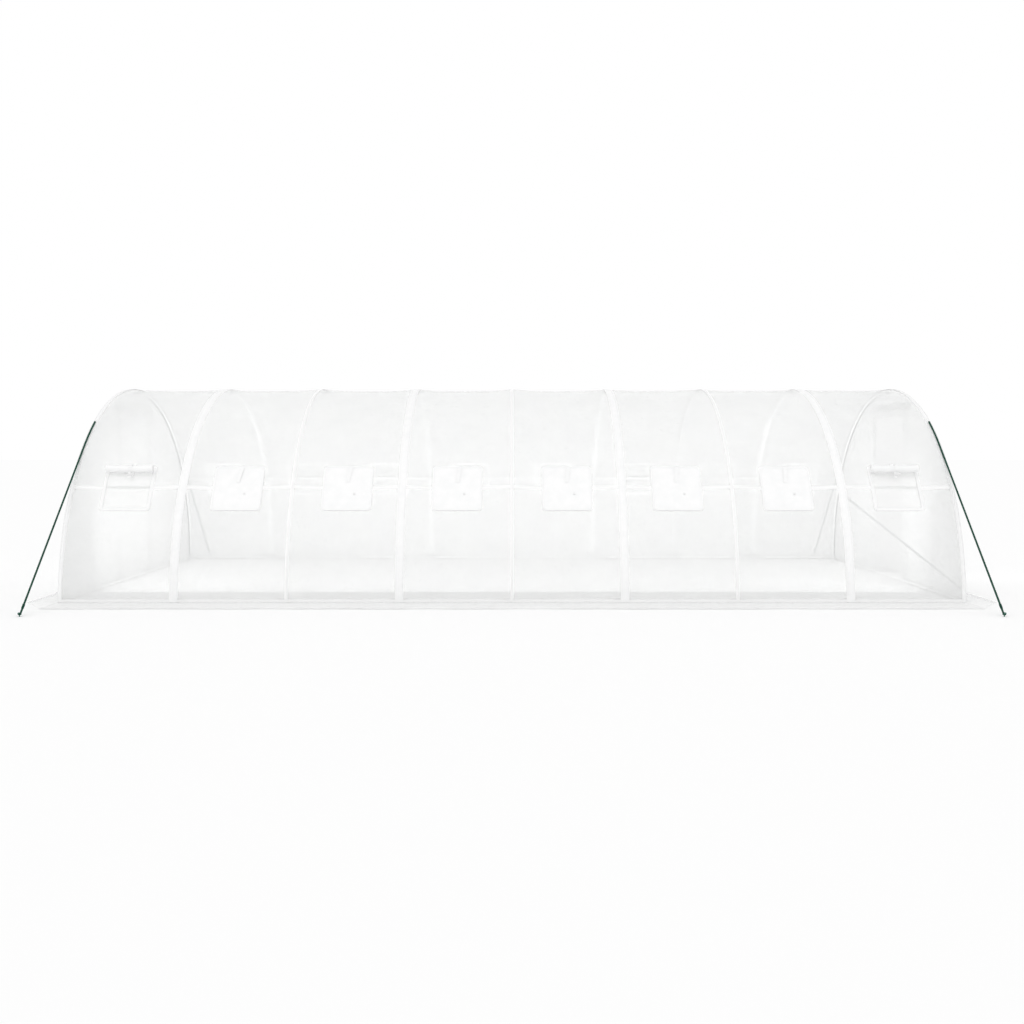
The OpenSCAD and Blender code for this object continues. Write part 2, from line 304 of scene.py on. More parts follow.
def makeRope():
    material, tree, shader = startMaterial("twistedRope")
    place = objectPlace(tree)
    cloud = addNoise(tree, place, 55.0, 4.0, 0.6)
    wave = addNode(tree, "TexWave", {"Scale": 190.0, "Distortion": 3.0, "Detail": 2.0})
    tree.links.new(place, wave.inputs["Vector"])
    fibre = addMath(tree, "ADD", cloud, addMath(tree, "MULTIPLY", wave.outputs["Fac"], 0.4))
    colour = addRamp(tree, fibre, (0.4, ropeLook["dark"]), (0.9, ropeLook["light"]))
    shader.inputs["Specular IOR Level"].default_value = 0.12
    setFinish(tree, shader, colour, cloud, 0.5, 0.72)
    addBump(tree, shader, wave.outputs["Fac"], 0.5, 0.0006)
    return material


coverFilm = makeFilm("milkyFilm", filmLook["milky"], 0.54, 0.74, True)
wallFilm = makeFilm("wallFilm", filmLook["milky"], 0.54, 0.74)
filmLining = makePlain("filmLining", filmLook["inside"], 2.6, (0.26, 0.42), grainScale=9.0,
                       alpha=filmLook["lining"])
bandTape = makeTape("bandTape", (0.006, 0.012, 0.064, 0.070))
edgeTape = makeTape("edgeTape", (0.005, 0.021))
doorTape = makeTape("doorTape", (0.006, 0.012, 0.138, 0.144), 0.45)
flapCloth = makeFlapCloth("flapCloth")
rollFilm = makeFlapCloth("rollFilm")
strapTape = makeTape("strapTape", (0.003, 0.015))
insectNet = makeNet()
netBack = makePlain("netBack", (netLook["grey"], netLook["white"]), 18.0, (0.5, 0.7), alpha=netLook["back"])
coatedSteel = makeCoatedSteel()
greyPlastic = makePlain("greyPlastic", ((0.70, 0.705, 0.71), (0.80, 0.80, 0.80)), 22.0, (0.42, 0.58))
boltZinc = makePlain("boltZinc", ((0.50, 0.51, 0.52), (0.66, 0.67, 0.68)), 60.0, (0.25, 0.45), metallic=1.0)
zipCoil = makePlain("zipCoil", ((0.80, 0.80, 0.80), (0.88, 0.88, 0.88)), 40.0, (0.4, 0.55))
skirtFilm = makeFilm("skirtFilm", filmLook["grey"], 0.08, 0.19)
hemTape = makeTape("hemTape", (0.004, 0.018))
endSkirtFilm = makeFilm("endSkirtFilm", filmLook["milky"], 0.05, 0.15)
endHemTape = makeTape("endHemTape", (0.004, 0.018), 0.3)
twistedRope = makeRope()
pegPaint = makePlain("pegPaint", ((0.03, 0.13, 0.09), (0.05, 0.19, 0.14)), 70.0, (0.3, 0.5))
print("materials made")


# mesh helpers

def pieceName(node):
    first, *others = node.split("_")
    return first + "".join(word.capitalize() for word in others)


def finishPiece(name, bm, materials, nodes=(), sharp=None, fold=True):
    if fold:
        bmesh.ops.recalc_face_normals(bm, faces=bm.faces)
    for edge in bm.edges:
        edge.smooth = not edge.is_boundary  # a sheet's rim stays crisp
    mesh = bpy.data.meshes.new(name)
    bm.to_mesh(mesh)
    bm.free()
    for material in materials:
        mesh.materials.append(material)
    mesh.polygons.foreach_set("use_smooth", [True] * len(mesh.polygons))
    if sharp is not None:
        mesh.set_sharp_from_angle(angle=math.radians(sharp))
    piece = bpy.data.objects.new(name, mesh)
    scene.collection.objects.link(piece)
    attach(piece, "root")
    if nodes:
        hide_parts(*nodes)
    return piece


# gives a sheet its thickness; its back takes the material that lies lining places after its front's
def thicken(piece, thickness, lining=0):
    modifier = piece.modifiers.new("thickness", "SOLIDIFY")
    modifier.thickness = thickness
    modifier.offset = 0.0
    modifier.use_even_offset = True
    modifier.material_offset = lining
    return piece


def paint(verts, index):
    for face in {f for v in verts for f in v.link_faces}:
        face.material_index = index


def edgesOf(verts):
    return list({e for v in verts for e in v.link_edges})


def roundEdges(bm, edges, size, segments=2):
    return bmesh.ops.bevel(bm, geom=edges, offset=size, offset_type="OFFSET", segments=segments,
                           profile=0.5, affect="EDGES", material=-1)["verts"]


def alongLine(start, end):
    run = end - start
    turn = run.to_track_quat("Z", "Y").to_matrix().to_4x4()
    return Matrix.Translation((start + end) / 2) @ turn, run.length


def addTube(bm, start, end, radius, sides=20, edge=0.0):
    place, length = alongLine(start, end)
    made = bmesh.ops.create_cone(bm, cap_ends=True, segments=sides, radius1=radius, radius2=radius,
                                 depth=length, matrix=place)
    if edge:
        rims = [e for e in edgesOf(made["verts"]) if any(len(f.verts) > 4 for f in e.link_faces)]
        roundEdges(bm, rims, edge)


def addBlock(bm, size, place, edge, segments=2, material=0):
    made = bmesh.ops.create_cube(bm, size=1.0, matrix=place @ Matrix.Diagonal((*size, 1.0)))
    paint(roundEdges(bm, edgesOf(made["verts"]), edge, segments), material)


# hex head on a washer, standing on the place's Z axis
def addBolt(bm, place, head):
    washer = Matrix.Translation((0, 0, head * 0.12))
    hexagon = Matrix.Translation((0, 0, head * 0.6))
    for shape, sides, radius, depth in ((washer, 16, 1.35, 0.24), (hexagon, 6, 1.0, 0.75)):
        made = bmesh.ops.create_cone(bm, cap_ends=True, segments=sides, radius1=head * radius,
                                     radius2=head * radius * 0.94, depth=head * depth, matrix=place @ shape)
        paint(made["verts"], 1)


# a place on the arch: X along the tunnel, Y along the hoop, Z outwards
def archPlace(x, angle, radius):
    across = Vector((1, 0, 0))
    tangent = Vector((0, math.sin(angle), math.cos(angle)))
    outward = across.cross(tangent)
    turn = Matrix((across, tangent, outward)).transposed().to_4x4()
    return Matrix.Translation(Vector((x, 0, 0)) + outward * radius) @ turn


# round bar bent along the hoops between two angles
def addArch(bm, x, radius, barRadius, start, end, steps, sides=20):
    foot = Matrix.Rotation(-start, 4, "X") @ Matrix.Translation((x, -radius, 0))
    verts = bmesh.ops.create_circle(bm, segments=sides, radius=barRadius, cap_ends=True, matrix=foot)["verts"]
    faces = list({f for v in verts for f in v.link_faces})
    bmesh.ops.spin(bm, geom=verts + edgesOf(verts) + faces, cent=(0, 0, 0), axis=(-1, 0, 0),
                   angle=end - start, steps=steps, use_duplicate=False)


# places between the given breaks, no further apart than step
def stations(breaks, step):
    places = [breaks[0]]
    for start, end in zip(breaks, breaks[1:]):
        count = max(1, math.ceil((end - start) / step - 1e-6))
        places += [start + (end - start) * (i + 1) / count for i in range(count)]
    return places


# a grid whose columns and rows are put in place by a function, with its flat size as its UV map
def addPatch(bm, columns, rows, place, isHole=None, chart=None):
    made = bmesh.ops.create_grid(bm, x_segments=len(columns) - 1, y_segments=len(rows) - 1, size=1.0)
    spots = {}
    for vert in made["verts"]:
        column = columns[round((vert.co.x + 1) / 2 * (len(columns) - 1))]
        row = rows[round((vert.co.y + 1) / 2 * (len(rows) - 1))]
        spots[vert] = (column, row)
    for vert, spot in spots.items():
        vert.co = place(*spot)
    metres = bm.loops.layers.uv.get("metres") or bm.loops.layers.uv.new("metres")
    holes = []
    for face in {f for v in made["verts"] for f in v.link_faces}:
        middle = [sum(spots[v][k] for v in face.verts) / len(face.verts) for k in range(2)]
        if isHole and isHole(*middle):
            holes.append(face)
        for loop in face.loops:
            loop[metres].uv = chart(*spots[loop.vert]) if chart else spots[loop.vert]
    bmesh.ops.delete(bm, geom=holes, context="FACES")


# round strands twisted about the place's Z axis: one turn is spun, then repeated and welded
def addTwist(bm, place, offset, bar, pitch, turns, strands=1, sides=7, steps=9):
    oneTurn = bmesh.new()
    lean = math.atan2(2 * math.pi * offset, pitch)
    for strand in range(strands):
        spot = Matrix.Rotation(2 * math.pi * strand / strands, 4, "Z") @ Matrix.Translation((offset, 0, 0))
        verts = bmesh.ops.create_circle(oneTurn, segments=sides, radius=bar,
                                        matrix=spot @ Matrix.Rotation(-lean, 4, "X"))["verts"]
        bmesh.ops.spin(oneTurn, geom=verts + edgesOf(verts), cent=(0, 0, 0), axis=(0, 0, 1),
                       dvec=(0, 0, pitch / steps), angle=2 * math.pi, steps=steps, use_duplicate=False)
    oneTurn.transform(place)
    turnMesh = bpy.data.meshes.new("oneTurn")
    oneTurn.to_mesh(turnMesh)
    oneTurn.free()
    rise = place.to_3x3() @ Vector((0, 0, pitch))
    twist = bmesh.new()
    for turn in range(turns):
        twist.from_mesh(turnMesh)
        twist.verts.ensure_lookup_table()
        for vert in twist.verts[-len(turnMesh.vertices):]:
            vert.co += rise * turn
    bmesh.ops.remove_doubles(twist, verts=twist.verts, dist=bar * 0.05)
    bmesh.ops.holes_fill(twist, edges=[e for e in twist.edges if e.is_boundary], sides=0)
    bmesh.ops.recalc_face_normals(twist, faces=twist.faces)
    twistMesh = bpy.data.meshes.new("twist")
    twist.to_mesh(twistMesh)
    twist.free()
    bm.from_mesh(twistMesh)
    for mesh in (turnMesh, twistMesh):
        bpy.data.meshes.remove(mesh)


# the taut skin of the cover

film = {"radius": coverRadius - 0.0015, "thickness": 0.0008, "sag": 0.021, "tightness": 3.2,
        "hold": 0.16, "wrinkle": 0.006, "crease": 0.0022}
halfArc = math.pi * coverRadius


def skinSag(x, angle):
    between = ((x - hoopXs[0]) / bay) % 1.0
    hollow = 1.0 - abs(2.0 * between - 1.0) ** film["tightness"]
    free = min(1.0, max(0.0, math.sin(angle)) / film["hold"])
    free = free * free * (3.0 - 2.0 * free)
    arc = angle * coverRadius
    wide = noise.noise(Vector((x * 1.9, arc * 0.8, 4.3)))
    fine = noise.noise(Vector((x * 9.0 + arc * 1.5, arc * 2.1, 9.1)))
    return hollow * free * (film["sag"] + film["wrinkle"] * wide + film["crease"] * fine)


def skinPoint(x, arc, lift=0.0):
    angle = arc / coverRadius
    radius = film["radius"] - skinSag(x, angle) + lift
    return Vector((x, -radius * math.cos(angle), radius * math.sin(angle)))


# frame: hoops

hoop = {"sleeve": 0.0012, "sleeveLength": 0.09, "jointAngles": (36.0, 72.0, 108.0, 144.0), "steps": 120,
        "boltHead": 0.0035}


def makeHoop(i):
    x = hoopXs[i - 1]
    foot = math.asin(hoopFootZ / hoopRadius)
    outside = tubeRadius + hoop["sleeve"]
    half = hoop["sleeveLength"] / 2 / hoopRadius
    bm = bmesh.new()
    addArch(bm, x, hoopRadius, tubeRadius, foot, math.pi - foot, hoop["steps"])
    for joint in hoop["jointAngles"]:  # swaged joints of the tube
        middle = math.radians(joint)
        addArch(bm, x, hoopRadius, outside, middle - half, middle + half, 6)
        inside = Matrix.Rotation(math.radians(180), 4, "X") @ Matrix.Translation((0, 0, outside))
        addBolt(bm, archPlace(x, middle, hoopRadius) @ inside, hoop["boltHead"])
    finishPiece(f"hoopTube{i}", bm, [coatedSteel, boltZinc], [f"hoop_{i}"], sharp=40)


for i in range(1, hoopCount + 1):
    makeHoop(i)
print("hoops made")


# frame: straight tubes

rail = {"sleeve": 0.0011, "sleeveLength": 0.11, "edge": 0.0012, "sillJoints": (-0.9, 0.9)}


def makeRail(node, along):
    low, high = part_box(node)
    centre = (low + high) / 2
    radius = (high.z - low.z) / 2
    run = Vector((0, 0, 0))
    run[along] = 1.0
    half = run * (high[along] - low[along]) / 2
    bm = bmesh.new()
    addTube(bm, centre - half, centre + half, radius, edge=rail["edge"])
    joints = [x + bay / 4 for x in hoopXs[1:-1:2]] if along == 0 else rail["sillJoints"]
    reach = run * rail["sleeveLength"] / 2
    for joint in joints:  # swaged joints between lengths of tube
        spot = centre.copy()
        spot[along] = joint
        addTube(bm, spot - reach, spot + reach, radius + rail["sleeve"], edge=rail["edge"] / 2)
    finishPiece(pieceName(node), bm, [coatedSteel], [node], sharp=40)


for node in ("ridge_pole", "front_side_rail", "rear_side_rail", "front_ground_rail", "rear_ground_rail"):
    makeRail(node, 0)
for node in ("left_sill", "right_sill"):
    makeRail(node, 1)

brace = {"radius": 0.0095, "end": 0.05, "ring": 1.14, "boltHead": 0.0045}


# a diagonal with a bolted ring near each end
def makeBrace(node, signs):
    low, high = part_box(node)
    centre = (low + high) / 2
    size = high - low
    run = size
    for _ in range(4):  # the box is larger than the middle line by the slanted end discs
        line = run.normalized()
        run = Vector([size[k] - 2 * brace["radius"] * math.sqrt(1 - line[k] ** 2) for k in range(3)])
    run = Vector((run.x * signs[0], run.y * signs[1], run.z))
    line = run.normalized()
    start, end = centre - run / 2, centre + run / 2
    bm = bmesh.new()
    addTube(bm, start, end, brace["radius"], sides=18, edge=0.002)
    for tip, back in ((start, line), (end, -line)):
        ring = (tip + back * brace["end"] / 2, tip + back * brace["end"])
        addTube(bm, *ring, brace["radius"] * brace["ring"], sides=18)
        side = Matrix.Rotation(math.radians(90), 4, "Y") @ Matrix.Translation((0, 0, brace["radius"] * 1.1))
        addBolt(bm, alongLine(*ring)[0] @ side, brace["boltHead"])
    finishPiece(pieceName(node), bm, [coatedSteel, boltZinc], [node], sharp=40)


makeBrace("front_brace", (-1, 1))
makeBrace("rear_brace", (1, -1))

clamp = {"length": 0.044, "wall": 0.003, "edge": 0.0035, "lip": 0.0035, "boltHead": 0.0048}


# moulded block round the hoop and the rail under it, with a split line and two bolts
def makeClamps():
    bm = bmesh.new()
    width = 2 * (tubeRadius + clamp["wall"])
    waist = width - clamp["lip"]
    drop = hoopRadius - purlinRadius
    blocks = (  # height of the middle, size and rounding of the hoop's half, the rail's half and the waist
        (width * 0.17, (width, clamp["length"], width * 0.62), clamp["edge"]),
        (-drop - width * 0.13, (width, clamp["length"], width * 0.66), clamp["edge"]),
        (-drop / 2 - 0.001, (waist, clamp["length"] - clamp["lip"], drop), 0.002),
    )
    for x in hoopXs:
        for angle in (sideRailAngle, ridgeAngle, math.pi - sideRailAngle):
            place = archPlace(x, angle, hoopRadius)
            for height, size, edge in blocks:
                addBlock(bm, size, place @ Matrix.Translation((0, 0, height)), edge)
            for side in (-1, 1):
                spot = place @ Matrix.Translation((side * waist / 2, 0, -drop / 2))
                addBolt(bm, spot @ Matrix.Rotation(math.radians(90) * side, 4, "Y"), clamp["boltHead"])
    finishPiece("railClamps", bm, [greyPlastic, boltZinc], ["rail_clamps"], sharp=40)


makeClamps()

shoe = {"width": 0.033, "arm": 0.075, "socket": 0.0155, "edge": 0.003, "ridge": 0.0009, "boltHead": 0.005}


# foot of a hoop: shoe on the ground rail, upright socket with a collar, and bolts
def makeFeet():
    bm = bmesh.new()
    half = shoe["width"] / 2
    angle = math.asin(shoe["arm"] / hoopRadius)
    for i, x in enumerate(hoopXs):
        first, last = i == 0, i == hoopCount - 1
        low = x - (half if first else shoe["arm"])
        high = x + (half if last else shoe["arm"])
        for side in (-1, 1):
            y = side * hoopRadius
            middle = Matrix.Translation(((low + high) / 2, y, half))
            addBlock(bm, (high - low, shoe["width"], shoe["width"]), middle, shoe["edge"])
            if first or last:
                length = shoe["arm"] + half
                centre = Matrix.Translation((x, y - side * (length / 2 - half), half))
                addBlock(bm, (shoe["width"] - 0.0004, length, shoe["width"] - 0.0004), centre, shoe["edge"])
            bottom, top = Vector((x, y, half)), Vector((x, y * math.cos(angle), shoe["arm"]))
            up = (top - bottom).normalized()
            addTube(bm, bottom, top, shoe["socket"], sides=24, edge=0.0015)
            addTube(bm, top - up * 0.010, top - up * 0.004, shoe["socket"] + shoe["ridge"], sides=24,
                    edge=0.0008)
            bolts = [(x, y - side * shoe["socket"], shoe["arm"] * 0.72)]
            bolts += [(x + step, y - side * half, half) for step in (-0.05, 0.05) if low < x + step < high]
            for spot in bolts:
                turn = Matrix.Rotation(math.radians(90) * side, 4, "X")
                addBolt(bm, Matrix.Translation(spot) @ turn, shoe["boltHead"])
    finishPiece("hoopFeet", bm, [greyPlastic, boltZinc], ["hoop_feet"], sharp=40)


makeFeet()
print("rails, braces, clamps and feet made")


# cover

borderLow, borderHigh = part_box("window_borders")
window = {"border": 0.028, "corner": 0.03, "overlap": 0.024, "netOverlap": 0.02, "thickness": 0.0014,
          "borderLift": 0.0016, "netLift": -0.0022, "facingLift": -0.0036, "netThickness": 0.0006}
window["lowArc"] = coverRadius * math.asin(borderLow.z / coverRadius) + window["border"]
window["highArc"] = coverRadius * math.asin(borderHigh.z / (coverRadius + 0.0023)) - window["border"]
window["midArc"] = (window["lowArc"] + window["highArc"]) / 2
window["halfHeight"] = (window["highArc"] - window["lowArc"]) / 2
window["halfWidth"] = windowXs[0] - borderLow.x - window["border"]
everyWindow = [(k, side) for side in (-1, 1) for k in range(len(windowXs))]
closedWindows = range(1, len(windowXs) - 1)
openWindows = (0, len(windowXs) - 1)


def inWindow(x, arc):
    arc = min(arc, halfArc - arc)
    if not window["lowArc"] < arc < window["highArc"]:
        return False
    return any(abs(x - spot) < window["halfWidth"] for spot in windowXs)


cover = {"column": 0.045, "row": 0.042, "foot": 0.06, "nearHoop": (0.0, 0.013, 0.03, 0.055, 0.09)}


def coverColumns(start, end):
    breaks = {start, end}
    for x in hoopXs:
        breaks |= {x + side * away for away in cover["nearHoop"] for side in (-1, 1)}
    for x in windowXs:
        breaks |= {x - window["halfWidth"], x + window["halfWidth"]}
    inside = sorted(b for b in breaks if start <= b <= end)
    return stations([b for k, b in enumerate(inside) if k == 0 or b - inside[k - 1] > 1e-5], cover["column"])


# rows over the arch from one foot to the other
def archRows(foot):
    return stations([foot, halfArc / 2, halfArc - foot], cover["row"])


def makeCoverPanel(i):
    node = f"cover_panel_{i}"
    low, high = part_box(node)
    low.x, high.x = max(low.x, -wallInner), min(high.x, wallInner)
    edges = [0.0, cover["foot"], window["lowArc"], window["highArc"], halfArc / 2]
    rows = stations(edges + [halfArc - e for e in reversed(edges[:-1])], cover["row"])
    bm = bmesh.new()
    addPatch(bm, coverColumns(low.x, high.x), rows, skinPoint, inWindow)
    piece = finishPiece(f"coverPanel{i}", bm, [coverFilm, filmLining], [node], fold=False)
    thicken(piece, film["thickness"], 1)


for i in range(1, 6):
    makeCoverPanel(i)

band = {"width": 0.076, "facing": 0.070, "lift": 0.0016, "thickness": 0.0014}


# tapes along the seams of the cover
def makeSeamTapes(name, breaks, foot, lift, nodes=()):
    bm = bmesh.new()
    for x in hoopXs[1::2]:
        addPatch(bm, stations(breaks, 0.02), archRows(foot), lambda u, arc: skinPoint(x + u, arc, lift),
                 chart=lambda u, arc: (u - breaks[0], arc))
    thicken(finishPiece(name, bm, [bandTape], nodes, fold=False), band["thickness"])


bandBreaks = [-band["width"] / 2, -0.026, -0.013, 0.0, 0.013, 0.026, band["width"] / 2]
facingBreaks = [-band["facing"] / 2, 0.0, band["facing"] / 2]
makeSeamTapes("seamBands", bandBreaks, 0.004, band["lift"], ["seam_bands"])
makeSeamTapes("seamFacings", facingBreaks, 0.05, -band["lift"])  # narrower, inside behind the bands

binding = {"width": 0.030, "lift": 0.0013, "thickness": 0.0012}


# sewn binding round the two end edges, half on the cover and half on the wall
def makeEndBindings():
    bm = bmesh.new()
    columns = stations([-binding["width"], 0.0, binding["width"]], 0.011)
    corner = wallOuter + binding["lift"]

    def place(side):
        def put(u, arc):
            if u <= 0:
                return skinPoint(side * (corner + u), arc, binding["lift"])
            angle = arc / coverRadius
            radius = film["radius"] + binding["lift"] - u
            return Vector((side * corner, -radius * math.cos(angle), max(0.0, radius * math.sin(angle))))
        return put

    for side in (-1, 1):
        addPatch(bm, columns, archRows(0.004), place(side), chart=lambda u, arc: (u + binding["width"], arc))
    thicken(finishPiece("endBindings", bm, [edgeTape]), binding["thickness"])


makeEndBindings()
print("cover made")


# windows

def roundedSpot(u, v, halfWidth, halfHeight, corner):
    du, dv = abs(u) - (halfWidth - corner), abs(v) - (halfHeight - corner)
    if du > 0 and dv > 0:
        scale = max(du, dv) / math.hypot(du, dv)
        u = math.copysign(halfWidth - corner + du * scale, u)
        v = math.copysign(halfHeight - corner + dv * scale, v)
    return u, v


# place of a patch on window number k of the front (side -1) or rear (side 1), v upwards
def onWindow(k, side, lift, corner=None, margin=0.0, shift=0.0):
    def put(u, v):
        rise = lift(u, v) if callable(lift) else lift
        if corner:
            u, v = roundedSpot(u, v, window["halfWidth"] + margin, window["halfHeight"] + margin, corner)
        arc = window["midArc"] + v
        return skinPoint(windowXs[k] + (u + shift) * -side, arc if side < 0 else halfArc - arc, rise)
    return put


def windowStations(half, margin, breaks=(), step=0.03):
    inner = sorted({-half, half, *breaks})
    return stations([-half - margin] * bool(margin) + inner + [half + margin] * bool(margin), step)


def makeNets():
    margin = window["netOverlap"]
    halves = window["halfWidth"], window["halfHeight"]
    columns, rows = [windowStations(half, margin) for half in halves]
    for side, name in ((-1, "frontWindowNets"), (1, "rearWindowNets")):
        bm = bmesh.new()
        for k in range(len(windowXs)):
            addPatch(bm, columns, rows, onWindow(k, side, window["netLift"]))
        piece = finishPiece(name, bm, [insectNet, netBack], ["window_nets"], fold=False)
        thicken(piece, window["netThickness"], 1)


# borders outside the film and facings inside, with the nets sewn in between
def makeBorders():
    halfWidth, halfHeight, margin = window["halfWidth"], window["halfHeight"], window["border"]
    columns, rows = [windowStations(half, margin, step=0.014) for half in (halfWidth, halfHeight)]

    def isHole(u, v):
        return abs(u) < halfWidth and abs(v) < halfHeight

    def chart(u, v):
        beside, above = abs(u) - halfWidth, abs(v) - halfHeight
        return max(beside, above), (v if beside > above else u)

    for name, lift, nodes in (("windowBorders", window["borderLift"], ["window_borders"]),
                              ("windowFacings", window["facingLift"], [])):
        bm = bmesh.new()
        for k, side in everyWindow:
            addPatch(bm, columns, rows, onWindow(k, side, lift, window["corner"], margin), isHole, chart)
        thicken(finishPiece(name, bm, [edgeTape], nodes, fold=False), window["thickness"])


flap = {"lift": 0.0036, "puff": 0.005, "thickness": 0.0016, "corner": 0.045, "hem": 0.016,
        "hemThickness": 0.00112}


def makeFlaps():
    margin = window["overlap"]
    halfWidth, halfHeight = window["halfWidth"] + margin, window["halfHeight"] + margin
    columns, rows = [windowStations(half, 0.0, (flap["hem"] - half, half - flap["hem"]), 0.022)
                     for half in (halfWidth, halfHeight)]

    def lift(u, v):
        puff = math.cos(u / halfWidth * 1.5) * math.cos(v / halfHeight * 1.5)
        ripple = noise.noise(Vector((u * 8.0, v * 8.0, 2.2)))
        return flap["lift"] + flap["puff"] * max(0.0, puff) * (0.7 + 0.5 * ripple)

    def hemLift(u, v):
        return lift(u, v) + flap["thickness"]

    def isInside(u, v):
        return abs(u) < halfWidth - flap["hem"] and abs(v) < halfHeight - flap["hem"]

    def chart(u, v):
        return max(abs(u) - halfWidth, abs(v) - halfHeight) + flap["hem"], u if abs(v) > abs(u) else v

    for side, name in ((-1, "frontWindowFlaps"), (1, "rearWindowFlaps")):
        bm = bmesh.new()
        hems = bmesh.new()
        for k in closedWindows:
            addPatch(bm, columns, rows, onWindow(k, side, lift, flap["corner"], margin))
            addPatch(hems, columns, rows, onWindow(k, side, hemLift, flap["corner"], margin), isInside, chart)
        piece = finishPiece(name, bm, [flapCloth], ["window_flaps"], fold=False)
        thicken(piece, flap["thickness"])
        hem = finishPiece(name.replace("Flaps", "Hems"), hems, [edgeTape], fold=False)
        thicken(hem, flap["hemThickness"])


makeNets()
makeBorders()
makeFlaps()
print("windows made")


# rolled flaps, straps and toggles

# a sheet rolled into a spiral about the place's X axis, gripped where straps hold it
def addRoll(bm, place, length, radius, turns, pinches, pitch, wobble, seed):
    columns = stations([-length / 2, *sorted(pinches), length / 2], 0.02)
    reach = turns * 2 * math.pi
    rows = stations([0.0, reach], reach / (turns * 22))

    def put(u, sweep):
        grip = min([1.0] + [abs(u - spot) / 0.09 for spot in pinches])
        outer = radius * (0.86 + 0.14 * grip * (2.0 - grip))
        size = outer - pitch * (reach - sweep) / (2 * math.pi)
        lump = noise.noise(Vector((u * 7.0 + seed, math.cos(sweep) * 0.8, math.sin(sweep) * 0.8)))
        size += wobble * lump * sweep / reach
        sag = wobble * 1.5 * grip * (1.0 - (2 * u / length) ** 2)
        return place @ Vector((u, size * math.cos(sweep), size * math.sin(sweep) - sag))

    addPatch(bm, columns, rows, put)


# a flat strap run along points in the place's YZ plane, with its width along X
def addStrap(bm, place, points, width, x):
    lengths = [0.0]
    for first, second in zip(points, points[1:]):
        lengths.append(lengths[-1] + math.dist(first, second))
    addPatch(bm, [-width / 2, 0.0, width / 2], range(len(points)),
             lambda across, row: place @ Vector((x + across, *points[row])),
             chart=lambda across, row: (across + width / 2, lengths[row]))


def finishStraps(name, bm, thickness):
    bmesh.ops.remove_doubles(bm, verts=bm.verts, dist=0.0001)
    thicken(finishPiece(name, bm, [strapTape]), thickness)


# one turn round a roll, from a start angle in degrees
def loopPoints(radius, start, steps):
    turns = [math.radians(start + 360 * k / steps) for k in range(steps + 1)]
    return [(radius * math.cos(t), radius * math.sin(t)) for t in turns]


rollLow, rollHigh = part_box("window_rolls")
roll = {"radius": (rollHigh.z - rollLow.z) / 2, "length": 2 * (windowXs[0] - rollLow.x), "turns": 6,
        "pitch": 0.0049, "wobble": 0.003, "thickness": 0.004, "strap": 0.029, "strapX": 0.012,
        "strapLift": 0.0048, "tail": 0.052, "toggle": 0.007, "toggleLength": 0.058}


# flap of an open window, rolled up under its top border and tied with a strap and a toggle
def makeWindowRolls():
    bm = bmesh.new()
    straps = bmesh.new()
    toggles = bmesh.new()
    radius, wide = roll["radius"], roll["strap"]
    size = radius - 0.002
    top = window["halfHeight"]
    rise = stations([top - 0.042, top + 0.055], 0.016)
    hang = Vector((0.018, -size * 0.5 - 0.022, -size - 0.017))
    half = Vector((roll["toggleLength"] / 2, 0.0, 0.003))
    for k, side in everyWindow:
        if k not in openWindows:
            continue
        turn = Matrix.Translation((windowXs[k], side * (rollHigh.y - radius), rollHigh.z - radius))
        if side > 0:
            turn = turn @ Matrix.Rotation(math.pi, 4, "Z")
        addRoll(bm, turn, roll["length"], size, roll["turns"], (roll["strapX"],), roll["pitch"],
                roll["wobble"], k)
        addStrap(straps, turn, loopPoints(size * 0.93, 30, 30), wide, roll["strapX"])
        addPatch(straps, [-wide / 2, 0.0, wide / 2], rise,
                 onWindow(k, side, roll["strapLift"], shift=roll["strapX"]),
                 chart=lambda u, v: (u + wide / 2, v))
        for lean, spot, drop in ((0.003, 0.004, 1.0), (-0.004, 0.030, 0.72)):  # two loose ends
            fall = roll["tail"] * drop / 6
            tail = [(-size * 0.5 - lean * t, -size * 0.84 - fall * t) for t in range(7)]
            addStrap(straps, turn, tail, wide * 0.8, spot)
        addTube(toggles, turn @ (hang - half), turn @ (hang + half), roll["toggle"], sides=14, edge=0.0035)
    piece = finishPiece("windowRolls", bm, [rollFilm], ["window_rolls"], fold=False)
    thicken(piece, roll["thickness"])
    finishStraps("windowRollStraps", straps, 0.0012)
    finishPiece("windowRollToggles", toggles, [zipCoil], sharp=45)


tie = {"width": 0.034, "drop": 0.17, "kink": 0.02, "lean": 0.012, "button": 0.0105, "buttonX": 0.066,
       "buttonDrop": 0.29}


# strap that hangs from the top of each closed flap, ready to tie it up, and the button it goes to
def makeFlapTies():
    bm = bmesh.new()
    buttons = bmesh.new()
    half = tie["width"] / 2
    top = window["halfHeight"] + window["overlap"] - 0.006
    rows = stations([top - tie["drop"], top], 0.014)
    over = flap["lift"] + flap["puff"]
    for k, side in everyWindow:
        if k not in closedWindows:
            continue
        lean = tie["lean"] * noise.noise(Vector((k * 3.7, side * 5.1, 0.4)))

        def put(u, v):
            fallen = (top - v) / tie["drop"]
            lift = over + 0.0015 + 0.002 * math.sin(fallen * math.pi)
            kink = tie["kink"] * (0.9 - fallen) + lean * fallen
            return onWindow(k, side, lift)(u + kink, v)

        addPatch(bm, [-half, 0.0, half], rows, put, chart=lambda u, v: (u + half, v))
        spot = onWindow(k, side, over + 0.001)(tie["buttonX"], top - tie["buttonDrop"])
        out = Vector((0, spot.y, spot.z)).normalized()
        addTube(buttons, spot, spot + out * 0.006, tie["button"], sides=20, edge=0.002)
        addTube(buttons, spot - out * 0.004, spot + out * 0.0072, tie["button"] * 0.4, sides=14, edge=0.001)
    finishStraps("flapStraps", bm, 0.001)
    finishPiece("flapButtons", buttons, [zipCoil], sharp=45)


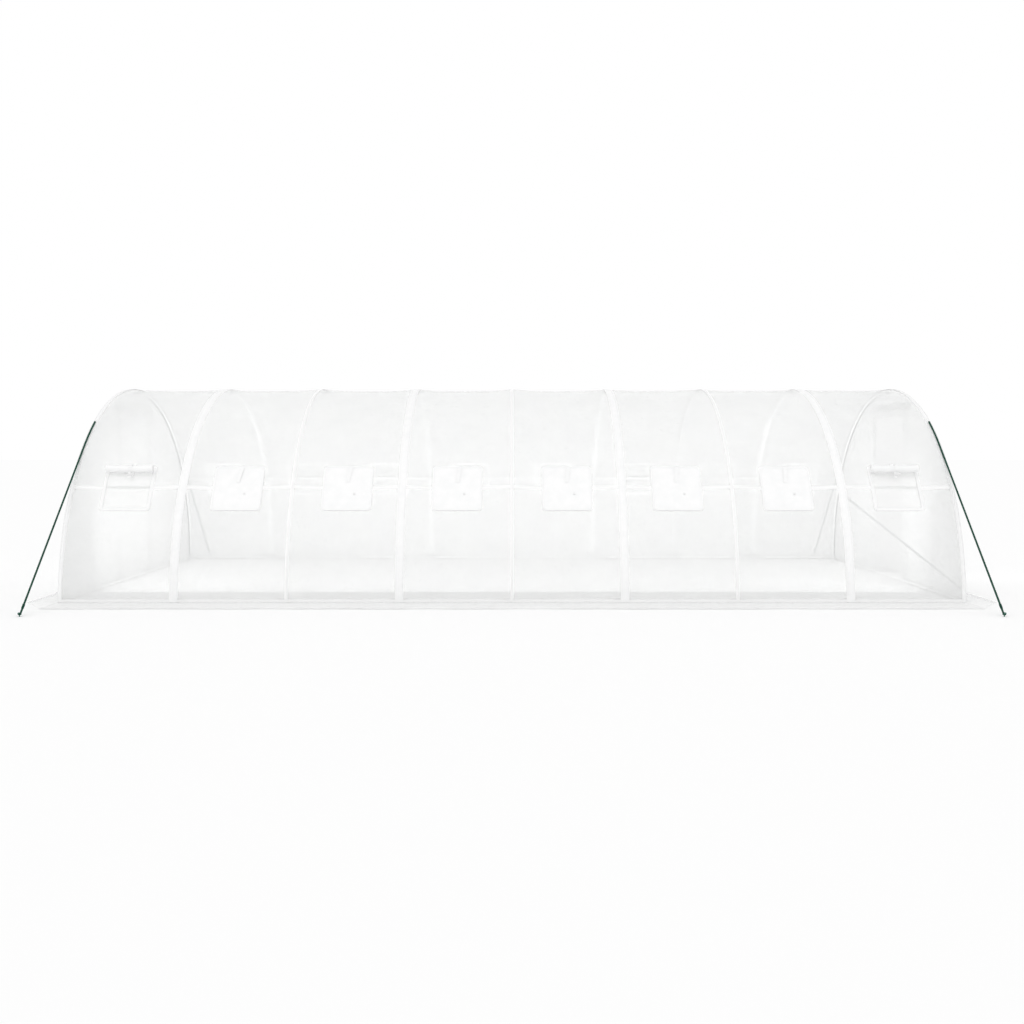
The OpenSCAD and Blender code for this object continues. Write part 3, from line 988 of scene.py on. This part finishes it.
makeWindowRolls()
makeFlapTies()
print("rolls and ties made")


# end walls and doors

doorLow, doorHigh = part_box("left_door")
door = {"halfWidth": (doorHigh.y - doorLow.y) / 2, "height": doorHigh.z, "tape": 0.15, "bulge": 0.009,
        "tapeThickness": 0.0016}
wall = {"column": 0.06, "row": 0.055, "x": (wallInner + wallOuter) / 2}


def wallBulge(y, z):
    rim = film["radius"] - math.hypot(y, z)
    free = min(1.0, max(0.0, min(rim, z)) / 0.3)
    jamb = min(1.0, abs(abs(y) - door["halfWidth"]) / 0.2 + max(0.0, z - door["height"]) / 0.2)
    waves = noise.noise(Vector((y * 2.1, z * 1.7, 6.6))) + 0.35 * noise.noise(Vector((y * 7.0, z * 3.0, 1.2)))
    return door["bulge"] * free * jamb * (0.35 + 0.65 * abs(waves))


def archHeight(y):
    return math.sqrt(max(0.0, film["radius"] ** 2 - y * y))


# half-round film wall with the doorway left out; rows of each column run from the ground to the arch
def makeEndWall(side, end):
    bm = bmesh.new()
    jamb, top = door["halfWidth"], door["height"]
    lintel = top / archHeight(jamb)
    rim = film["radius"] - 0.002

    def put(y, share):
        if abs(y) <= jamb:
            z = top + (archHeight(y) - top) * (share - lintel) / (1.0 - lintel)
        else:
            z = archHeight(y) * share
        return Vector((side * (wall["x"] + wallBulge(y, z)), y, z))

    columns = stations([-rim, -1.9, -jamb, 0.0, jamb, 1.9, rim], wall["column"])
    rows = stations([0.0, lintel, 1.0], wall["row"] / 2)
    addPatch(bm, columns, rows, put, lambda y, share: abs(y) < jamb and share < lintel,
             lambda y, share: (y, put(y, share).z))
    bmesh.ops.remove_doubles(bm, verts=bm.verts, dist=0.0005)
    nodes = [f"{end}_wall_{place}" for place in ("front", "rear", "top")]
    piece = finishPiece(f"{end}EndWall", bm, [wallFilm, filmLining], nodes)
    thicken(piece, film["thickness"], 1)


makeEndWall(-1, "left")
makeEndWall(1, "right")


# door let down and zipped shut, in the plane of the wall
def makeClosedDoor():
    bm = bmesh.new()
    half, top = door["halfWidth"] - 0.002, door["height"] - 0.002

    def put(y, z):
        free = min(1.0, (half - abs(y)) / 0.15, z / 0.2, (top - z) / 0.2)
        waves = noise.noise(Vector((y * 4.0, z * 1.3, 3.3)))
        return Vector((-wall["x"] - door["bulge"] * max(0.0, free) * (0.6 + 0.6 * waves), y, z))

    addPatch(bm, stations([-half, 0.0, half], 0.05), stations([0.004, top], 0.05), put)
    piece = finishPiece("leftDoor", bm, [wallFilm, filmLining], ["left_door"])
    thicken(piece, film["thickness"], 1)


# broad sewn tape round each doorway, with a zip down both sides
def makeDoorTapes():
    bm = bmesh.new()
    zips = bmesh.new()
    jamb, top, width = door["halfWidth"], door["height"], door["tape"]
    columns = stations([-jamb - width, -jamb, jamb, jamb + width], 0.03)
    rows = stations([0.004, top, top + width], 0.03)
    x = wallOuter + door["bulge"] * 0.3

    def chart(y, z):
        if z > top and z - top > abs(y) - jamb:
            return z - top, y
        return abs(y) - jamb, z

    for side in (-1, 1):
        def put(y, z):
            return Vector((side * (x + 0.0015 * noise.noise(Vector((y * 6.0, z * 4.0, 2.0)))), y, z))

        addPatch(bm, columns, rows, put, lambda y, z: abs(y) < jamb and z < top, chart)
        for edge in (-1, 1):
            foot = Vector((side * (x + 0.004), edge * (jamb + 0.004), 0.01))
            addZip(zips, foot, top - 0.03, side)
    piece = finishPiece("doorTapes", bm, [doorTape], ["door_tapes"], fold=False)
    thicken(piece, door["tapeThickness"])
    finishPiece("doorZips", zips, [zipCoil, boltZinc, edgeTape], sharp=40)


zipper = {"tooth": 0.0026, "wire": 0.0011, "pitch": 0.006, "tape": (0.0014, 0.024),
          "slider": (0.006, 0.011, 0.016), "pull": (0.002, 0.007, 0.034)}


# coil of a zip on a narrow tape, with a slider and a pull
def addZip(bm, foot, length, side):
    up = Vector((0, 0, length))
    behind = foot + up / 2 - Vector((side * 0.0012, 0, 0))
    addBlock(bm, (*zipper["tape"], length), Matrix.Translation(behind), 0.0005, 1, 2)
    turns = int(length / zipper["pitch"])
    addTwist(bm, Matrix.Translation(foot), zipper["tooth"], zipper["wire"], length / turns, turns,
             sides=5, steps=8)
    rest = foot + up * (0.03 if side < 0 else 0.95)  # shut on the left, open on the right
    out = Vector((side * 0.004, 0, 0))
    addBlock(bm, zipper["slider"], Matrix.Translation(rest + out), 0.0015, 2, 1)
    pull = Matrix.Translation(rest + out * 1.9 - Vector((0, 0, zipper["pull"][2] * 0.55)))
    addBlock(bm, zipper["pull"], pull @ Matrix.Rotation(math.radians(side * 4), 4, "Y"), 0.0008, 2, 1)


doorRoll = {"turns": 6, "pitch": 0.0058, "wobble": 0.004, "seed": 2.5, "thickness": 0.0014, "strap": 0.028,
            "tail": 0.026, "buckle": (0.036, 0.006, 0.030)}


# open door, rolled up over its doorway and held by two straps with buckles
def makeDoorRoll():
    low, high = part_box("right_door_roll")
    place = Matrix.Translation((low + high) / 2) @ Matrix.Rotation(math.radians(90), 4, "Z")
    length = high.y - low.y
    radius = (high.z - low.z) / 2
    grip = radius * 0.9
    straps = (-length * 0.28, length * 0.28)
    bm = bmesh.new()
    addRoll(bm, place, length, radius - 0.002, doorRoll["turns"], straps, doorRoll["pitch"],
            doorRoll["wobble"], doorRoll["seed"])
    piece = finishPiece("rightDoorRoll", bm, [rollFilm], ["right_door_roll"], fold=False)
    thicken(piece, doorRoll["thickness"])
    bands = bmesh.new()
    buckles = bmesh.new()
    for spot in straps:
        addStrap(bands, place, loopPoints(grip, 60, 32), doorRoll["strap"], spot)
        addStrap(bands, place, [(grip, -0.002 + 0.011 * t) for t in range(7)], doorRoll["strap"], spot)
        tail = [(-radius * 0.88, -0.01 - 0.012 * t) for t in range(8)]
        addStrap(bands, place, tail, doorRoll["tail"], spot)
        addBlock(buckles, doorRoll["buckle"], place @ Matrix.Translation((spot, -grip - 0.003, 0.004)), 0.002)
    finishStraps("doorRollStraps", bands, 0.0014)
    finishPiece("doorRollBuckles", buckles, [zipCoil], sharp=45)


makeClosedDoor()
makeDoorTapes()
makeDoorRoll()
print("end walls and doors made")


# ground flaps

skirt = {"thickness": 0.0012, "lift": 0.0045, "ripple": 0.014, "edge": 0.012, "step": 0.05, "hem": 0.022,
         "hemLift": 0.0014}


# height of the flap over the ground: flat by the wall, lifting in folds towards its free edge
def skirtHeight(along, out, seed):
    folds = noise.noise(Vector((along * 2.4, out * 1.5, seed)))
    folds += 0.5 * noise.noise(Vector((along * 8.0, out * 3.0, seed)))
    return skirt["lift"] + skirt["ripple"] * out * max(0.0, folds) + 0.002 * out * abs(folds)


# film and hem of a flap, with columns along it and rows out to its free edge
def makeSkirtPieces(node, columns, step, width, put, looks, isHole=None):
    hem = 1.0 - skirt["hem"] / width
    layers = (
        ("", stations([0.0, hem, 1.0], step), 0.0, lambda along, out: (along, out * width), [node]),
        ("Hem", [hem, (hem + 1.0) / 2, 1.0], skirt["hemLift"],
         lambda along, out: ((out - hem) * width, along), []),
    )
    pieces = []
    for look, (ending, rows, lift, chart, nodes) in zip(looks, layers):
        bm = bmesh.new()
        addPatch(bm, columns, rows, lambda along, out: put(along, out) + Vector((0, 0, lift)), isHole, chart)
        piece = finishPiece(pieceName(node) + ending, bm, [look], nodes)
        pieces.append(thicken(piece, skirt["thickness"]))
    return pieces


def makeSideSkirt(node, side):
    low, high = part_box(node)
    width = high.y - low.y
    inner = coverRadius - 0.004

    def put(x, out):
        wave = skirt["edge"] * noise.noise(Vector((x * 3.1, side * 2.0, 8.8))) * out
        y = inner + (width - 0.010) * out + wave
        return Vector((x, side * y, skirtHeight(x, out, side * 3.0)))

    columns = stations([low.x, high.x], skirt["step"])
    piece, edge = makeSkirtPieces(node, columns, 0.13, width, put, (skirtFilm, hemTape))


# end flap with slanted corners; the one by the open door stops at the doorway
def makeEndSkirt(node, side, doorway):
    low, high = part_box(node)
    reach = high.x - low.x
    corner = high.y
    straight = coverRadius * 0.6  # the columns lean towards the slanted corners from here
    inner = wallOuter - 0.003

    def put(y, out):
        slant = corner + (coverRadius - corner) * out
        beyond = max(0.0, abs(y) - straight) / (corner - straight)
        across = math.copysign(min(abs(y), straight) + beyond * (slant - straight), y)
        wave = skirt["edge"] * 0.6 * noise.noise(Vector((y * 3.1, side * 4.0, 1.8))) * out
        x = inner + (reach - 0.010) * out + wave
        return Vector((side * x, across, skirtHeight(y, out, side * 5.0 + 1.0)))

    columns = stations([-corner, *doorway, corner], skirt["step"])
    isHole = (lambda y, out: abs(y) < door["halfWidth"]) if doorway else None
    piece, edge = makeSkirtPieces(node, columns, 0.17, reach, put, (endSkirtFilm, endHemTape), isHole)


makeSideSkirt("front_flap", -1)
makeSideSkirt("rear_flap", 1)
makeEndSkirt("left_flap", -1, ())
makeEndSkirt("right_flap", 1, (-door["halfWidth"], door["halfWidth"]))
print("ground flaps made")


# guy ropes and pegs

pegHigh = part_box("pegs")[1]
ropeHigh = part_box("guy_ropes")[1]
peg = {"radius": 0.005, "height": pegHigh.z, "hook": 0.030, "bend": 0.011}
rope = {"x": hoopXs[-1], "radius": ropeHigh.x - hoopXs[-1], "lay": 0.052, "cord": 0.0026, "knot": 0.10,
        "loop": 0.005, "pegY": pegHigh.y - peg["hook"], "endZ": pegHigh.z / 2}
corners = [(end, side) for end in (-1, 1) for side in (-1, 1)]


# closed ring of round bar about an upright axis
def addRing(bm, centre, radius, barRadius, sides=10, steps=28):
    place = Matrix.Translation(centre + Vector((radius, 0, 0))) @ Matrix.Rotation(math.pi / 2, 4, "X")
    verts = bmesh.ops.create_circle(bm, segments=sides, radius=barRadius, matrix=place)["verts"]
    bmesh.ops.spin(bm, geom=verts + edgesOf(verts), cent=centre, axis=(0, 0, 1), angle=2 * math.pi,
                   steps=steps, use_merge=True, use_duplicate=False)


# taut rope that lies on the cover over an end hoop, then runs straight to its peg
def makeGuyRopes():
    line = coverRadius + 0.0003 + rope["radius"]
    high = math.asin(ropeHigh.z / (line + rope["radius"]))
    endY = rope["pegY"] - peg["radius"] - 0.006
    leave = math.atan2(rope["endZ"], endY) + math.acos(line / math.hypot(endY, rope["endZ"]))
    onCover = line * (high - leave)
    length = onCover + math.sqrt(endY ** 2 + rope["endZ"] ** 2 - line ** 2)
    turns = round(length / rope["lay"])

    def bend(spot):  # from the straight rope to its place in the YZ plane: y outwards, z along the run
        angle = max(leave, high - spot.z / line)
        free = max(0.0, spot.z - onCover)
        away = line + spot.y
        return Vector((spot.x, away * math.cos(angle) + free * math.sin(angle),
                       away * math.sin(angle) - free * math.cos(angle)))

    for number, (end, side) in enumerate(corners, 1):
        bm = bmesh.new()
        addTwist(bm, Matrix(), rope["radius"] * 0.48, rope["radius"] * 0.52, length / turns, turns, strands=3)
        addTwist(bm, Matrix.Translation((0, 0, length - rope["knot"])), rope["radius"] * 0.92, rope["cord"],
                 rope["cord"] * 2.05, 8, sides=8, steps=16)  # whipping over the knot
        for vert in bm.verts:
            spot = bend(vert.co)
            vert.co = Vector((end * (rope["x"] + spot.x), side * spot.y, spot.z))
        loop = Vector((end * rope["x"], side * (rope["pegY"] - 0.001), rope["endZ"]))
        addRing(bm, loop, peg["radius"] + rope["loop"] + 0.0002, rope["loop"])
        finishPiece(f"guyRope{number}", bm, [twistedRope], ["guy_ropes"])


def facesIn(geom):
    return [g for g in geom if isinstance(g, bmesh.types.BMFace)]


# draws faces out by a vector, and gives the moved faces
def drawOut(bm, faces, vec):
    drawn = bmesh.ops.extrude_face_region(bm, geom=faces)["geom"]
    bmesh.ops.translate(bm, vec=vec, verts=[g for g in drawn if isinstance(g, bmesh.types.BMVert)])
    return facesIn(drawn)


# pegs with a bent hook that points away from the tunnel
def makePegs():
    bm = bmesh.new()
    stem = peg["height"] - peg["radius"] - peg["bend"]
    for end, side in corners:
        foot = Vector((end * rope["x"], side * rope["pegY"], 0.0))
        made = bmesh.ops.create_circle(bm, segments=14, radius=peg["radius"], cap_ends=True,
                                       matrix=Matrix.Translation(foot))
        raised = drawOut(bm, list({f for v in made["verts"] for f in v.link_faces}), (0, 0, stem))
        bent = bmesh.ops.spin(bm, geom=raised, cent=foot + Vector((0, side * peg["bend"], stem)),
                              axis=(-side, 0, 0), angle=math.radians(90), steps=8, use_duplicate=False)
        last = facesIn(bent["geom_last"])
        drawOut(bm, last, (0, side * (peg["hook"] - peg["bend"]), 0))
        bmesh.ops.delete(bm, geom=[f for f in raised + last if f.is_valid], context="FACES_ONLY")
    finishPiece("groundPegs", bm, [pegPaint], ["pegs"], sharp=50)


makeGuyRopes()
makePegs()
print("ropes and pegs made")


# stage: floor, world, lamp and camera

def makeStage():
    bm = bmesh.new()
    bmesh.ops.create_grid(bm, x_segments=1, y_segments=1, size=140.0)
    mesh = bpy.data.meshes.new("floor")
    bm.to_mesh(mesh)
    bm.free()
    floor = bpy.data.objects.new("floor", mesh)
    floor.location.z = -0.001
    material, tree, shader = startMaterial("paleFloor")
    shader.inputs["Base Color"].default_value = (0.985, 0.985, 0.985, 1.0)
    shader.inputs["Roughness"].default_value = 1.0
    shader.inputs["Specular IOR Level"].default_value = 0.0
    mesh.materials.append(material)
    scene.collection.objects.link(floor)


light = {"world": 0.88, "sunSize": 60.0, "sun": 0.5, "sunFrom": (-1.2, -5.0, 6.0)}
fills = {  # watts, spread, size, place and turns of the soft lamps inside the tunnel
    "rearFill": (56.0, 120.0, (7.8, 1.0), (0.0, -1.3, 0.45), (98.0, 0.0)),
    "leftFill": (8.0, 80.0, (2.6, 1.2), (-2.0, 0.0, 0.85), (93.0, 90.0)),
    "rightFill": (8.0, 80.0, (2.6, 1.2), (2.0, 0.0, 0.85), (93.0, -90.0)),
}


def makeLight():
    world = bpy.data.worlds.new("studio")
    scene.world = world
    world.use_nodes = True
    tree = world.node_tree
    ground = tree.nodes["Background"]
    path = addNode(tree, "LightPath")
    seen = addMath(tree, "MAXIMUM", path.outputs["Is Camera Ray"], path.outputs["Is Glossy Ray"])
    seen = addMath(tree, "MAXIMUM", seen, path.outputs["Is Transmission Ray"])
    ground.inputs["Color"].default_value = (1.0, 1.0, 1.0, 1.0)
    tree.links.new(addRange(tree, seen, 0.0, 1.0, light["world"], 1.0), ground.inputs["Strength"])
    sun = bpy.data.lights.new("sun", "SUN")
    sun.energy = light["sun"]
    sun.angle = math.radians(light["sunSize"])
    holder = bpy.data.objects.new("sun", sun)
    holder.location = light["sunFrom"]
    holder.rotation_euler = (-holder.location).to_track_quat("-Z", "Y").to_euler()
    scene.collection.objects.link(holder)
    for name, (watts, spread, size, place, turns) in fills.items():
        fill = bpy.data.lights.new(name, "AREA")
        fill.shape = "RECTANGLE"
        fill.size, fill.size_y = size
        fill.energy = watts
        fill.spread = math.radians(spread)
        holder = bpy.data.objects.new(name, fill)
        holder.location = place
        holder.rotation_euler = (math.radians(turns[0]), 0.0, math.radians(turns[1]))
        holder.visible_camera = False
        scene.collection.objects.link(holder)


view = {"distance": 11.74, "height": 1.353, "focal": 1100.6, "horizon": 450.0, "picture": 1024.0}


def makeCamera():
    data = bpy.data.cameras.new("camera")
    data.sensor_width = 36.0
    data.lens = view["focal"] / view["picture"] * data.sensor_width
    data.shift_y = (view["horizon"] - view["picture"] / 2) / view["picture"]
    data.clip_end = 400.0
    camera = bpy.data.objects.new("camera", data)
    camera.location = (0.0, -view["distance"], view["height"])
    camera.rotation_euler = (math.radians(90), 0.0, 0.0)
    scene.collection.objects.link(camera)
    scene.camera = camera


makeStage()
makeLight()
makeCamera()
scene.view_settings.view_transform = "Standard"
scene.cycles.transparent_max_bounces = 64  # light crosses many layers of film and net
print("stage made")
